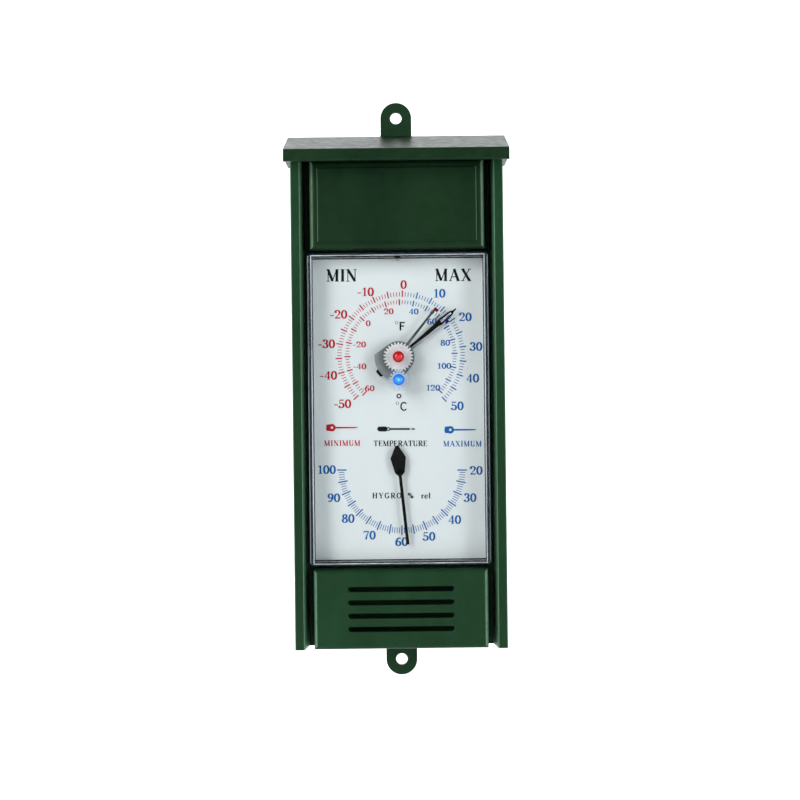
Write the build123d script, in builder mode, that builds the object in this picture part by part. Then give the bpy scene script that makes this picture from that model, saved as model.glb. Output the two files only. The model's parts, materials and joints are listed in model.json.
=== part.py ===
"""Wall-mounted maximum-minimum dial thermometer with a dial hygrometer, in millimetres.

Frame: +X is right and +Z is up as the reader sees the dial, and the dial faces -Y. The origin is midway between
the two wall screws, on the wall plane. A depth is a distance from the wall, so depth d is the plane y = -d.
Angles of pointers are read clockwise from straight up.
"""

import os
from math import acos, cos, pi, radians, sin, tan

from build123d import *

# ---- case, as seen from the front ----
CASE_WIDTH = 80.0
SILL_HEIGHT = 30.0
LENS_HEIGHT = 118.0
HOOD_HEIGHT = 33.6
ROOF_RISE = 12.0
TAB_REACH = 7.0  # from the end of the case to the wall screw's axis
TAB_RADIUS = 6.0
WALL_HOLE_RADIUS = 2.25
WALL = 2.4
RAIL_WIDTH = 3.6  # at the front edge
RAIL_FOOT = 4.8  # at the deck
CHANNEL_WIDTH = 3.6  # between a rail and the hood or sill
LENS_SIDE_GAP = 1.1
LENS_END_GAP = 1.2

# ---- stack of layers, from the wall to the front ----
COVER_THICKNESS = 2.5
MOVEMENT_CLEARANCE = 2.6
BRIDGE_THICKNESS = 0.8
REGULATOR_ARM = 0.6
COIL_CLEARANCE = 1.2
COIL_WIDTH = 4.0
COIL_HEADROOM = 0.7
DECK_THICKNESS = 1.6
DIAL_THICKNESS = 1.2
POINTER_LIFT = 2.6
SHEET = 0.4  # every pointer and hand
MINIMUM_LIFT = 1.1  # from the temperature pointer to the minimum hand
MAXIMUM_LIFT = 1.1  # from the minimum hand to the maximum hand
GEAR_THICKNESS = 1.6
WASHER_THICKNESS = 0.3
LENS_BOSS_LENGTH = 2.1
WINDOW_THICKNESS = 1.6
RAIL_PROUD = 2.9  # rails stand this far in front of the lens
SILL_SET_BACK = 1.0
HOOD_SET_BACK = 1.2
ROOF_OVERHANG_FRONT = 11.0
ROOF_OVERHANG_SIDE = 2.0

# ---- instruments ----
PIVOT_BELOW_LENS_TOP = 39.3
PIVOT_ABOVE_LENS_BOTTOM = 35.0
PEG_DROP = 14.8
GEAR_TEETH = 26
PINION_TEETH = 16
GEAR_MODULE = 0.41
TEMPERATURE_ANGLE = 50.5
MINIMUM_ANGLE = 37.8
MAXIMUM_ANGLE = 54.9
HUMIDITY_ANGLE = 174.2
POINTER_REACH = 28.7
HUMIDITY_REACH = 27.8
HAND_REACH = 23.6

# ---- fits ----
RUNNING = 0.05  # radial clearance of a turning shaft
SEATED = 0.02  # radial clearance of a part that is pressed or glued in
END_PLAY = 0.1
LOOSE = 0.2
APART = 0.3  # least distance between bodies that move past each other

# ---- depths worked out from the stack ----
BRIDGE_BACK = COVER_THICKNESS + MOVEMENT_CLEARANCE
BRIDGE_FRONT = BRIDGE_BACK + BRIDGE_THICKNESS
ARM_BACK = BRIDGE_FRONT + END_PLAY
ARM_FRONT = ARM_BACK + REGULATOR_ARM
COIL_BACK = ARM_FRONT + COIL_CLEARANCE
COIL_FRONT = COIL_BACK + COIL_WIDTH
DECK_BACK = COIL_FRONT + COIL_HEADROOM
DECK_FRONT = DECK_BACK + DECK_THICKNESS
DIAL_FRONT = DECK_FRONT + DIAL_THICKNESS
POINTER_BACK = DIAL_FRONT + POINTER_LIFT
POINTER_FRONT = POINTER_BACK + SHEET
MINIMUM_BACK = POINTER_FRONT + MINIMUM_LIFT
MINIMUM_FRONT = MINIMUM_BACK + SHEET
MAXIMUM_BACK = MINIMUM_FRONT + MAXIMUM_LIFT
MAXIMUM_FRONT = MAXIMUM_BACK + SHEET
GEAR_FRONT = MAXIMUM_FRONT + GEAR_THICKNESS
LENS_BOSS_BACK = GEAR_FRONT + WASHER_THICKNESS + APART
WINDOW_BACK = LENS_BOSS_BACK + LENS_BOSS_LENGTH
LENS_FRONT = WINDOW_BACK + WINDOW_THICKNESS
RAIL_FRONT = LENS_FRONT + RAIL_PROUD
SILL_FRONT = RAIL_FRONT - SILL_SET_BACK
HOOD_FRONT = RAIL_FRONT - HOOD_SET_BACK
ROOF_FRONT = RAIL_FRONT + ROOF_OVERHANG_FRONT

# ---- heights and widths worked out from the case ----
CASE_HEIGHT = SILL_HEIGHT + LENS_END_GAP + LENS_HEIGHT + LENS_END_GAP + HOOD_HEIGHT
WALL_SCREW_Z = (CASE_HEIGHT + ROOF_RISE) / 2 + TAB_REACH
CASE_BOTTOM = -(CASE_HEIGHT + ROOF_RISE) / 2
CASE_TOP = CASE_BOTTOM + CASE_HEIGHT
CASE_MIDDLE = (CASE_BOTTOM + CASE_TOP) / 2
ROOF_TOP = CASE_TOP + ROOF_RISE
SILL_TOP = CASE_BOTTOM + SILL_HEIGHT
LENS_BOTTOM = SILL_TOP + LENS_END_GAP
LENS_TOP = LENS_BOTTOM + LENS_HEIGHT
LENS_MIDDLE = (LENS_BOTTOM + LENS_TOP) / 2
HOOD_BOTTOM = LENS_TOP + LENS_END_GAP
HOOD_MIDDLE = (HOOD_BOTTOM + CASE_TOP) / 2
SILL_MIDDLE = (CASE_BOTTOM + SILL_TOP) / 2
INNER_WIDTH = CASE_WIDTH - 2 * WALL
INNER_HEIGHT = CASE_HEIGHT - 2 * WALL
BLOCK_WIDTH = CASE_WIDTH - 2 * RAIL_WIDTH - 2 * CHANNEL_WIDTH
LENS_WIDTH = CASE_WIDTH - 2 * RAIL_FOOT - 2 * LENS_SIDE_GAP
ROOF_WIDTH = CASE_WIDTH + 2 * ROOF_OVERHANG_SIDE

# ---- centres of the dial's instruments ----
GEAR_RADIUS = GEAR_MODULE * GEAR_TEETH / 2
PINION_RADIUS = GEAR_MODULE * PINION_TEETH / 2
TEMPERATURE_Z = LENS_TOP - PIVOT_BELOW_LENS_TOP
HUMIDITY_Z = LENS_BOTTOM + PIVOT_ABOVE_LENS_BOTTOM
MAXIMUM_KNOB_Z = TEMPERATURE_Z - GEAR_RADIUS - PINION_RADIUS
PEG_Z = TEMPERATURE_Z - PEG_DROP
PIVOTS_Z = (TEMPERATURE_Z, HUMIDITY_Z)

# ---- small parts that several pieces share ----
LENS_WALL = 1.4
ARBOR_RADIUS = 0.6
BUSH_RADIUS = 1.6
PEG_RADIUS = 0.78
SPINDLE_RADIUS = 0.9
SPIGOT_RADIUS = 1.6
SPIGOT_LENGTH = 0.4  # behind the maximum hand
COLLAR_RADIUS = 1.5
COLLAR_THICKNESS = 0.4
BRIDGE_REACH = 13.0
PILOT_RADIUS = 0.7
PILOT_DEPTH = 5.0
REGULATOR_HEAD_RADIUS = 3.2
CASE_SCREW_INSET_X = 5.1
CASE_SCREW_INSET_Z = 9.0
CASE_SCREW_RADIUS = 1.3
CASE_SCREW_BOSS_RADIUS = 3.0
CASE_PILOT_END = DECK_BACK - 1.6
BLOCK_WALL = 2.0
BLOCK_ROUND = 1.7
HOOK_HEIGHT = 6.0
HOOK_X = BLOCK_WIDTH / 2 - BLOCK_WALL / 2
TONGUE_WIDTH = 5.0
TONGUE_THICKNESS = 1.2
LOWER_TONGUE_X = 20.3
CATCH_THICKNESS = 1.6  # barbed end of a hook or tongue, behind the deck
CATCH_BARB = 0.5
VENT_WIDTH = 2.0

CASE_SCREW_X = INNER_WIDTH / 2 - CASE_SCREW_INSET_X
CASE_SCREWS = [
    (x, z)
    for x in (-CASE_SCREW_X, CASE_SCREW_X)
    for z in (CASE_BOTTOM + CASE_SCREW_INSET_Z, CASE_TOP - CASE_SCREW_INSET_Z)
]
# x, z of the lens's edge, and the outward direction, of each snap tongue
TONGUES = [(0.0, LENS_TOP, 1), (-LOWER_TONGUE_X, LENS_BOTTOM, -1), (LOWER_TONGUE_X, LENS_BOTTOM, -1)]


def facing(depth, x=0.0, z=0.0, turn=0.0):
    """A sketch plane that faces the reader, with its own up direction turned clockwise by turn degrees."""
    a = radians(turn)
    return Plane(origin=(x, -depth, z), x_dir=(cos(a), 0, -sin(a)), z_dir=(0, -1, 0))


def disc(back, front, radius, z, x=0.0, mode=Mode.ADD):
    """A round layer of the part being built, between two depths."""
    with BuildSketch(facing(back, x, z)) as layer:
        Circle(radius)
    extrude(layer.sketch, amount=front - back, mode=mode)


def slab(back, front, width, height, z, x=0.0, mode=Mode.ADD):
    """A rectangular layer of the part being built, between two depths."""
    with BuildSketch(facing(back, x, z)) as layer:
        Rectangle(width, height)
    extrude(layer.sketch, amount=front - back, mode=mode)


def edges_at(builder, depth):
    return builder.edges().filter_by_position(Axis.Y, -depth - 0.001, -depth + 0.001)


# ======================================================================== case body
RAIL_EDGE = 0.5
DECK_RIM_SIDE = 5.1  # deck left behind the lens's edge
DECK_RIM_END = 6.0
CROSSBAR_HEIGHT = 5.0
SILL_WALL = 2.0
SILL_VENT_LENGTH = 40.0
SILL_VENT_PITCH = 5.0
SILL_VENTS = 4
SIDE_VENT_LENGTH = 18.0
SIDE_VENT_PITCH = 3.8
DECK_OVERLAP = 1.2  # the deck runs this far into the walls

with BuildPart() as case_body:
    with BuildSketch(facing(COVER_THICKNESS, 0, CASE_MIDDLE)):
        Rectangle(CASE_WIDTH, CASE_HEIGHT)
        Rectangle(INNER_WIDTH, INNER_HEIGHT, mode=Mode.SUBTRACT)
    extrude(amount=DECK_FRONT - COVER_THICKNESS)
    deck_width = INNER_WIDTH + 2 * DECK_OVERLAP
    slab(DECK_BACK, DECK_FRONT, deck_width, INNER_HEIGHT + 2 * DECK_OVERLAP, CASE_MIDDLE)
    for x, z in CASE_SCREWS:
        disc(COVER_THICKNESS, DECK_BACK, CASE_SCREW_BOSS_RADIUS, z, x)
        disc(COVER_THICKNESS, CASE_PILOT_END, CASE_SCREW_RADIUS + SEATED, z, x, Mode.SUBTRACT)

    # side rails, thicker at the deck than at their front edge
    with BuildSketch(Plane.XY.offset(CASE_BOTTOM)) as rails:
        Polygon(
            (CASE_WIDTH / 2, -DECK_FRONT),
            (CASE_WIDTH / 2 - RAIL_FOOT, -DECK_FRONT),
            (CASE_WIDTH / 2 - RAIL_WIDTH, -RAIL_FRONT),
            (CASE_WIDTH / 2, -RAIL_FRONT),
            align=None,
        )
        fillet(rails.vertices().group_by(Axis.Y)[0], RAIL_EDGE)
        mirror(about=Plane.YZ)
    extrude(amount=CASE_HEIGHT)

    # sill block under the lens, rounded in front, hollow behind and slotted for air
    slab(DECK_FRONT, SILL_FRONT, BLOCK_WIDTH, SILL_HEIGHT, SILL_MIDDLE)
    fillet(edges_at(case_body, SILL_FRONT), BLOCK_ROUND)
    slab(
        COVER_THICKNESS,
        SILL_FRONT - SILL_WALL,
        2 * (CASE_SCREW_X - CASE_SCREW_BOSS_RADIUS - SILL_WALL),
        SILL_HEIGHT - WALL - SILL_WALL,
        SILL_MIDDLE + (WALL - SILL_WALL) / 2,
        mode=Mode.SUBTRACT,
    )
    with BuildSketch(facing(DECK_FRONT, 0, SILL_MIDDLE)):
        with GridLocations(0, SILL_VENT_PITCH, 1, SILL_VENTS):
            SlotOverall(SILL_VENT_LENGTH, VENT_WIDTH)
    extrude(amount=SILL_FRONT - DECK_FRONT, mode=Mode.SUBTRACT)

    # window for the two movements, crossed by a bar that holds the dial peg
    window_width = LENS_WIDTH - 2 * DECK_RIM_SIDE
    window_height = LENS_HEIGHT - 2 * DECK_RIM_END
    slab(DECK_BACK, DECK_FRONT, window_width, window_height, LENS_MIDDLE, mode=Mode.SUBTRACT)
    slab(DECK_BACK, DECK_FRONT, window_width + DECK_RIM_SIDE, CROSSBAR_HEIGHT, PEG_Z)
    disc(DECK_BACK, DECK_FRONT, PEG_RADIUS + SEATED, PEG_Z, mode=Mode.SUBTRACT)

    # slots for the lens's tongues and the hood's hooks
    for x, z, outward in TONGUES:
        slot_width = TONGUE_WIDTH + 2 * LOOSE
        slot_height = TONGUE_THICKNESS + 2 * LOOSE
        slot_z = z - outward * TONGUE_THICKNESS / 2
        slab(DECK_BACK, DECK_FRONT, slot_width, slot_height, slot_z, x, Mode.SUBTRACT)
    for x in (-HOOK_X, HOOK_X):
        slot_width = BLOCK_WALL + 2 * LOOSE
        slot_height = HOOK_HEIGHT + 2 * LOOSE
        slab(DECK_BACK, DECK_FRONT, slot_width, slot_height, HOOD_MIDDLE, x, Mode.SUBTRACT)

    # air slots through both side walls, level with each coil
    for z in PIVOTS_Z:
        with BuildSketch(Plane.YZ.offset(-CASE_WIDTH / 2)):
            with Locations((-(COVER_THICKNESS + DECK_BACK) / 2, z)):
                with GridLocations(SIDE_VENT_PITCH, 0, 2, 1):
                    SlotOverall(SIDE_VENT_LENGTH, VENT_WIDTH, rotation=90)
        extrude(amount=CASE_WIDTH, mode=Mode.SUBTRACT)

# ======================================================================== rain hood
PLAQUE_MARGIN = 2.8
PLAQUE_RAISE = 0.6
PLAQUE_EDGE = 0.35
ROOF_SKIN = 2.2
ROOF_LIP = 3.0  # height of the roof's front edge above the case
ROOF_DRIP = 1.5  # the same edge below the case's top
ROOF_EDGE = 0.6
ROOF_SLOPE = (ROOF_RISE - ROOF_LIP) / (ROOF_FRONT - COVER_THICKNESS)


def roof_section(back, front, skin):
    """Side view of a stretch of the roof between two depths, skin below its sloping face."""
    Polygon(
        (-back, CASE_TOP),
        (-back, ROOF_TOP - skin - (back - COVER_THICKNESS) * ROOF_SLOPE),
        (-front, ROOF_TOP - skin - (front - COVER_THICKNESS) * ROOF_SLOPE),
        (-front, CASE_TOP),
        align=None,
    )


with BuildPart() as rain_hood:
    slab(DECK_FRONT, HOOD_FRONT, BLOCK_WIDTH, HOOD_HEIGHT, HOOD_MIDDLE)
    fillet(edges_at(rain_hood, HOOD_FRONT), BLOCK_ROUND)
    plaque_width = BLOCK_WIDTH - 2 * PLAQUE_MARGIN
    plaque_height = HOOD_HEIGHT - 2 * PLAQUE_MARGIN
    slab(HOOD_FRONT, HOOD_FRONT + PLAQUE_RAISE, plaque_width, plaque_height, HOOD_MIDDLE)
    fillet(edges_at(rain_hood, HOOD_FRONT + PLAQUE_RAISE), PLAQUE_EDGE)
    slab(
        DECK_FRONT,
        HOOD_FRONT - BLOCK_WALL,
        BLOCK_WIDTH - 2 * BLOCK_WALL,
        HOOD_HEIGHT - 2 * BLOCK_WALL,
        HOOD_MIDDLE,
        mode=Mode.SUBTRACT,
    )

    # roof with a drip edge, hollow behind the block's front wall and again under its overhang
    with BuildSketch(Plane.YZ.offset(-ROOF_WIDTH / 2)):
        roof_section(COVER_THICKNESS, ROOF_FRONT, 0)
        with Locations((-ROOF_FRONT + ROOF_SKIN / 2, CASE_TOP)):
            Rectangle(ROOF_SKIN, 2 * ROOF_DRIP)
    extrude(amount=ROOF_WIDTH)
    fillet(rain_hood.edges().filter_by(Axis.X).group_by(Axis.Y)[0], ROOF_EDGE)
    for back, front in (
        (COVER_THICKNESS + ROOF_SKIN, HOOD_FRONT - BLOCK_WALL),
        (HOOD_FRONT, ROOF_FRONT - ROOF_SKIN),
    ):
        with BuildSketch(Plane.YZ.offset(-INNER_WIDTH / 2)):
            roof_section(back, front, ROOF_SKIN)
        extrude(amount=INNER_WIDTH, mode=Mode.SUBTRACT)

    # snap hooks
    for side in (-1, 1):
        slab(DECK_BACK - SEATED, DECK_FRONT, BLOCK_WALL, HOOK_HEIGHT, HOOD_MIDDLE, side * HOOK_X)
        slab(
            DECK_BACK - CATCH_THICKNESS,
            DECK_BACK - SEATED,
            BLOCK_WALL + CATCH_BARB,
            HOOK_HEIGHT,
            HOOD_MIDDLE,
            side * (HOOK_X + CATCH_BARB / 2),
        )

# ======================================================================== rear cover and its screws
COVER_CORNER = 2.0
COVER_VENT_LENGTH = 18.0
COVER_VENT_X = 18.0
COVER_VENT_PITCH = 4.6
COVER_VENT_ROWS = 6
LIP_THICKNESS = 1.2
LIP_HEIGHT = 1.8
SCREW_HEAD_RADIUS = 2.8
SCREW_HEAD_HEIGHT = 1.6
SCREW_END_ROOM = 1.5
CROSS_LENGTH = 3.2
CROSS_WIDTH = 0.7
CROSS_DEPTH = 0.9

with BuildPart() as rear_cover:
    with BuildSketch(facing(0, 0, 0)):
        RectangleRounded(CASE_WIDTH, ROOF_TOP - CASE_BOTTOM, COVER_CORNER)
        SlotCenterToCenter(2 * WALL_SCREW_Z, 2 * TAB_RADIUS, rotation=90)
    extrude(amount=COVER_THICKNESS)
    lip_width = INNER_WIDTH - 2 * LOOSE
    lip_height = INNER_HEIGHT - 2 * LOOSE
    with BuildSketch(facing(COVER_THICKNESS, 0, CASE_MIDDLE)):
        Rectangle(lip_width, lip_height)
        Rectangle(lip_width - 2 * LIP_THICKNESS, lip_height - 2 * LIP_THICKNESS, mode=Mode.SUBTRACT)
    extrude(amount=LIP_HEIGHT)
    for z in (-WALL_SCREW_Z, WALL_SCREW_Z):
        disc(0, COVER_THICKNESS, WALL_HOLE_RADIUS, z, mode=Mode.SUBTRACT)
    for z in PIVOTS_Z:
        disc(0, COVER_THICKNESS, REGULATOR_HEAD_RADIUS + 2 * LOOSE, z, mode=Mode.SUBTRACT)
        with BuildSketch(facing(0, 0, z)):
            with GridLocations(2 * COVER_VENT_X, COVER_VENT_PITCH, 2, COVER_VENT_ROWS):
                SlotOverall(COVER_VENT_LENGTH, VENT_WIDTH)
        extrude(amount=COVER_THICKNESS, mode=Mode.SUBTRACT)
    for x, z in CASE_SCREWS:
        disc(0, COVER_THICKNESS, CASE_SCREW_RADIUS + LOOSE, z, x, Mode.SUBTRACT)
        with BuildSketch(facing(0, x, z)):
            Circle(SCREW_HEAD_RADIUS + RUNNING)
        with BuildSketch(facing(SCREW_HEAD_HEIGHT, x, z)):
            Circle(CASE_SCREW_RADIUS + RUNNING)
        loft(mode=Mode.SUBTRACT)

with BuildPart() as cover_screws:
    for x, z in CASE_SCREWS:
        with BuildSketch(facing(0, x, z)):
            Circle(SCREW_HEAD_RADIUS)
        with BuildSketch(facing(SCREW_HEAD_HEIGHT, x, z)):
            Circle(CASE_SCREW_RADIUS)
        loft()
        disc(SCREW_HEAD_HEIGHT, CASE_PILOT_END - SCREW_END_ROOM, CASE_SCREW_RADIUS, z, x)
        slab(0, CROSS_DEPTH, CROSS_LENGTH, CROSS_WIDTH, z, x, Mode.SUBTRACT)
        slab(0, CROSS_DEPTH, CROSS_WIDTH, CROSS_LENGTH, z, x, Mode.SUBTRACT)

# ======================================================================== lens
LENS_CORNER = 1.6
LENS_EDGE = 0.7
LENS_BOSS_RADIUS = 2.2
GATE_RADIUS = 1.1

with BuildPart() as lens:
    with BuildSketch(facing(DECK_FRONT, 0, LENS_MIDDLE)):
        RectangleRounded(LENS_WIDTH, LENS_HEIGHT, LENS_CORNER)
    extrude(amount=LENS_FRONT - DECK_FRONT)
    fillet(edges_at(lens, LENS_FRONT), LENS_EDGE)
    tray_width = LENS_WIDTH - 2 * LENS_WALL
    tray_height = LENS_HEIGHT - 2 * LENS_WALL
    slab(DECK_FRONT, WINDOW_BACK, tray_width, tray_height, LENS_MIDDLE, mode=Mode.SUBTRACT)
    # half-round gate moulded against the top wall
    disc(DIAL_FRONT + APART, WINDOW_BACK, GATE_RADIUS, LENS_TOP - LENS_WALL)
    for z in (TEMPERATURE_Z, MAXIMUM_KNOB_Z):
        disc(LENS_BOSS_BACK, WINDOW_BACK, LENS_BOSS_RADIUS, z)
        disc(LENS_BOSS_BACK, LENS_FRONT, SPINDLE_RADIUS + RUNNING, z, mode=Mode.SUBTRACT)
    for x, z, outward in TONGUES:
        stem_z = z - outward * TONGUE_THICKNESS / 2
        barb_z = stem_z + outward * CATCH_BARB / 2
        catch_front = DECK_BACK - SEATED
        slab(catch_front, DECK_FRONT, TONGUE_WIDTH, TONGUE_THICKNESS, stem_z, x)
        slab(
            DECK_BACK - CATCH_THICKNESS,
            catch_front,
            TONGUE_WIDTH,
            TONGUE_THICKNESS + CATCH_BARB,
            barb_z,
            x,
        )

# ======================================================================== dial plate and its peg
PEG_HEAD_RADIUS = 1.3
PEG_HEAD_HEIGHT = 0.6
PEG_PROUD = 0.2
PEG_HOLE_CLEARANCE = 0.17
POST_RADIUS = 2.2

with BuildPart() as dial_plate:
    dial_width = LENS_WIDTH - 2 * LENS_WALL - 2 * LOOSE
    dial_height = LENS_HEIGHT - 2 * LENS_WALL - 2 * LOOSE
    slab(DECK_FRONT, DIAL_FRONT, dial_width, dial_height, LENS_MIDDLE)
    for z in PIVOTS_Z:
        for x in (-BRIDGE_REACH, BRIDGE_REACH):
            disc(BRIDGE_FRONT, DECK_FRONT, POST_RADIUS, z, x)
            disc(BRIDGE_FRONT, BRIDGE_FRONT + PILOT_DEPTH, PILOT_RADIUS, z, x, Mode.SUBTRACT)
        disc(DECK_FRONT, DIAL_FRONT, BUSH_RADIUS + SEATED, z, mode=Mode.SUBTRACT)
    disc(DECK_FRONT, DIAL_FRONT, PEG_RADIUS + PEG_HOLE_CLEARANCE, PEG_Z, mode=Mode.SUBTRACT)

with BuildPart() as dial_peg:
    disc(DECK_BACK - PEG_HEAD_HEIGHT, DECK_BACK, PEG_HEAD_RADIUS, PEG_Z)
    disc(DECK_BACK, DIAL_FRONT + PEG_PROUD, PEG_RADIUS, PEG_Z)
    fillet(edges_at(dial_peg, DIAL_FRONT + PEG_PROUD), PEG_PROUD - RUNNING)

# ======================================================================== the two movements
BRIDGE_WIDTH = 7.0
BRIDGE_SCREW_HEAD_RADIUS = 1.7
BRIDGE_SCREW_HEAD_HEIGHT = 1.0
BRIDGE_SCREW_SLOT_WIDTH = 0.4
BRIDGE_SCREW_SLOT_DEPTH = 0.4
BRIDGE_SCREW_END_ROOM = 0.6
REGULATOR_HEAD_HEIGHT = 1.5
REGULATOR_NECK_RADIUS = 2.6
REGULATOR_RING_RADIUS = 3.8
REGULATOR_ARM_WIDTH = 2.4
REGULATOR_PIN_RADIUS = 0.7
REGULATOR_SLOT_WIDTH = 0.8
REGULATOR_SLOT_DEPTH = 0.8
REGULATOR_TURN = 120.0  # where the coil's outer end is held, clockwise from the right
COLLET_RADIUS = 1.5
COIL_STRIP = 0.35
COIL_PITCH = 1.2
TEMPERATURE_COIL_TURNS = 6
HUMIDITY_COIL_TURNS = 5
ARBOR_BACK = BRIDGE_BACK - 1.2
ARBOR_COLLAR_LENGTH = 0.9
ARBOR_HEAD_RADIUS = 1.1
ARBOR_HEAD_HEIGHT = 0.25
BUSH_FLANGE_RADIUS = 2.6
BUSH_FLANGE_THICKNESS = 1.0
BUSH_PROUD = 0.4


def make_movement(name, pivot_z, turns):
    """One instrument behind the dial: a bridge, its screws, a regulator, a coil, an arbor and a bush."""
    coil_start = COLLET_RADIUS + RUNNING
    coil_end = coil_start + turns * COIL_PITCH
    pin_x = coil_end + COIL_STRIP + RUNNING + REGULATOR_PIN_RADIUS

    with BuildPart() as bridge:
        with BuildSketch(facing(BRIDGE_BACK, 0, pivot_z)):
            SlotCenterToCenter(2 * BRIDGE_REACH, BRIDGE_WIDTH)
            Circle(REGULATOR_NECK_RADIUS + RUNNING, mode=Mode.SUBTRACT)
            with GridLocations(2 * BRIDGE_REACH, 0, 2, 1):
                Circle(PILOT_RADIUS + LOOSE, mode=Mode.SUBTRACT)
        extrude(amount=BRIDGE_THICKNESS)
    bridge.part.label = name + "_bridge"
    export_step(bridge.part, f"parts/{name}_bridge.step")

    with BuildPart() as bridge_screws:
        head_back = BRIDGE_BACK - BRIDGE_SCREW_HEAD_HEIGHT
        slot_front = head_back + BRIDGE_SCREW_SLOT_DEPTH
        slot_length = 2 * BRIDGE_SCREW_HEAD_RADIUS
        shank_end = BRIDGE_FRONT + PILOT_DEPTH - BRIDGE_SCREW_END_ROOM
        for x in (-BRIDGE_REACH, BRIDGE_REACH):
            disc(head_back, BRIDGE_BACK, BRIDGE_SCREW_HEAD_RADIUS, pivot_z, x)
            disc(BRIDGE_BACK, shank_end, PILOT_RADIUS - SEATED, pivot_z, x)
            slab(head_back, slot_front, slot_length, BRIDGE_SCREW_SLOT_WIDTH, pivot_z, x, Mode.SUBTRACT)
    bridge_screws.part.label = name + "_bridge_screws"
    export_step(bridge_screws.part, f"parts/{name}_bridge_screws.step")

    with BuildPart() as regulator:
        head_front = BRIDGE_BACK - END_PLAY
        head_back = head_front - REGULATOR_HEAD_HEIGHT
        slot_front = head_back + REGULATOR_SLOT_DEPTH
        disc(head_back, head_front, REGULATOR_HEAD_RADIUS, pivot_z)
        disc(head_front, ARM_BACK, REGULATOR_NECK_RADIUS, pivot_z)
        with BuildSketch(facing(ARM_BACK, 0, pivot_z, REGULATOR_TURN)):
            Circle(REGULATOR_RING_RADIUS)
            with Locations((pin_x / 2, 0)):
                SlotCenterToCenter(pin_x, REGULATOR_ARM_WIDTH)
        extrude(amount=REGULATOR_ARM)
        with BuildSketch(facing(ARM_FRONT, 0, pivot_z, REGULATOR_TURN)):
            with Locations((pin_x, 0)):
                Circle(REGULATOR_PIN_RADIUS)
        extrude(amount=COIL_FRONT - ARM_FRONT)
        disc(head_back, ARM_FRONT, ARBOR_RADIUS + RUNNING, pivot_z, mode=Mode.SUBTRACT)
        slot_length = 2 * REGULATOR_HEAD_RADIUS
        slab(head_back, slot_front, slot_length, REGULATOR_SLOT_WIDTH, pivot_z, mode=Mode.SUBTRACT)
    regulator.part.label = name + "_regulator"
    export_step(regulator.part, f"parts/{name}_regulator.step")

    # the strip winds outwards in half circles about two centres that lie half a pitch apart
    with BuildPart() as coil:
        with BuildSketch(facing(COIL_BACK, 0, pivot_z, REGULATOR_TURN)):
            with BuildLine():
                for half in range(2 * turns):
                    centre = (half % 2) * COIL_PITCH / 2
                    side = 1 - 2 * (half % 2)
                    inside = coil_start + half * COIL_PITCH / 2
                    for r in (inside, inside + COIL_STRIP):
                        ThreePointArc((centre + side * r, 0), (centre, side * r), (centre - side * r, 0))
                for r in (coil_start, coil_end):
                    Line((r, 0), (r + COIL_STRIP, 0))
            make_face()
        extrude(amount=COIL_WIDTH)
    coil.part.label = name + "_coil"
    export_step(coil.part, f"parts/{name}_coil.step")

    with BuildPart() as arbor:
        disc(ARBOR_BACK, POINTER_FRONT, ARBOR_RADIUS, pivot_z)
        disc(COIL_BACK, COIL_FRONT, COLLET_RADIUS, pivot_z)
        disc(POINTER_BACK - ARBOR_COLLAR_LENGTH, POINTER_BACK, COLLAR_RADIUS, pivot_z)
        disc(POINTER_FRONT, POINTER_FRONT + ARBOR_HEAD_HEIGHT, ARBOR_HEAD_RADIUS, pivot_z)
    arbor.part.label = name + "_arbor"
    export_step(arbor.part, f"parts/{name}_arbor.step")

    with BuildPart() as bush:
        flange_back = DECK_FRONT - BUSH_FLANGE_THICKNESS
        bush_front = DIAL_FRONT + BUSH_PROUD
        disc(flange_back, DECK_FRONT, BUSH_FLANGE_RADIUS, pivot_z)
        disc(DECK_FRONT, bush_front, BUSH_RADIUS, pivot_z)
        disc(flange_back, bush_front, ARBOR_RADIUS + RUNNING, pivot_z, mode=Mode.SUBTRACT)
    bush.part.label = name + "_bush"
    export_step(bush.part, f"parts/{name}_bush.step")


# ======================================================================== pointers
TAIL_SHOULDER = 5.4  # where a pointer's tail is widest
TAIL_HALF_WIDTH = 2.95
WAIST = 0.3  # past the pivot
WAIST_HALF_WIDTH = 1.85
NEEDLE_START = 1.6
TEMPERATURE_TAIL = 10.1
TEMPERATURE_TAIL_HALF = 1.3
TEMPERATURE_NEEDLE_HALF = 0.5
LOOP_START = 19.0
LOOP_START_HALF = 0.85
LOOP_SHOULDER = 20.9
LOOP_SHOULDER_HALF = 1.22
LOOP_TAPER = 26.2
LOOP_TAPER_HALF = 0.92
LOOP_END = 27.2
LOOP_END_HALF = 0.4
TEMPERATURE_TIP_HALF = 0.24
LOOP_OPENING_START = 21.1
LOOP_OPENING_HALF = (0.44, 0.3)  # at its start and at the taper
HUMIDITY_TAIL = 10.0
HUMIDITY_TAIL_HALF = 0.6
HUMIDITY_NEEDLE_HALF = (0.6, 0.6)  # at its start and at its tip


def pointer_outline(tail, *needle):
    """A pointer that points up. Each corner is (half width, distance from the pivot)."""
    right = [tail, (TAIL_HALF_WIDTH, -TAIL_SHOULDER), (WAIST_HALF_WIDTH, WAIST), *needle]
    left = [(-half_width, reach) for half_width, reach in reversed(right)]
    Polygon(*right, *left, align=None)
    Circle(ARBOR_RADIUS + SEATED, mode=Mode.SUBTRACT)


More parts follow.
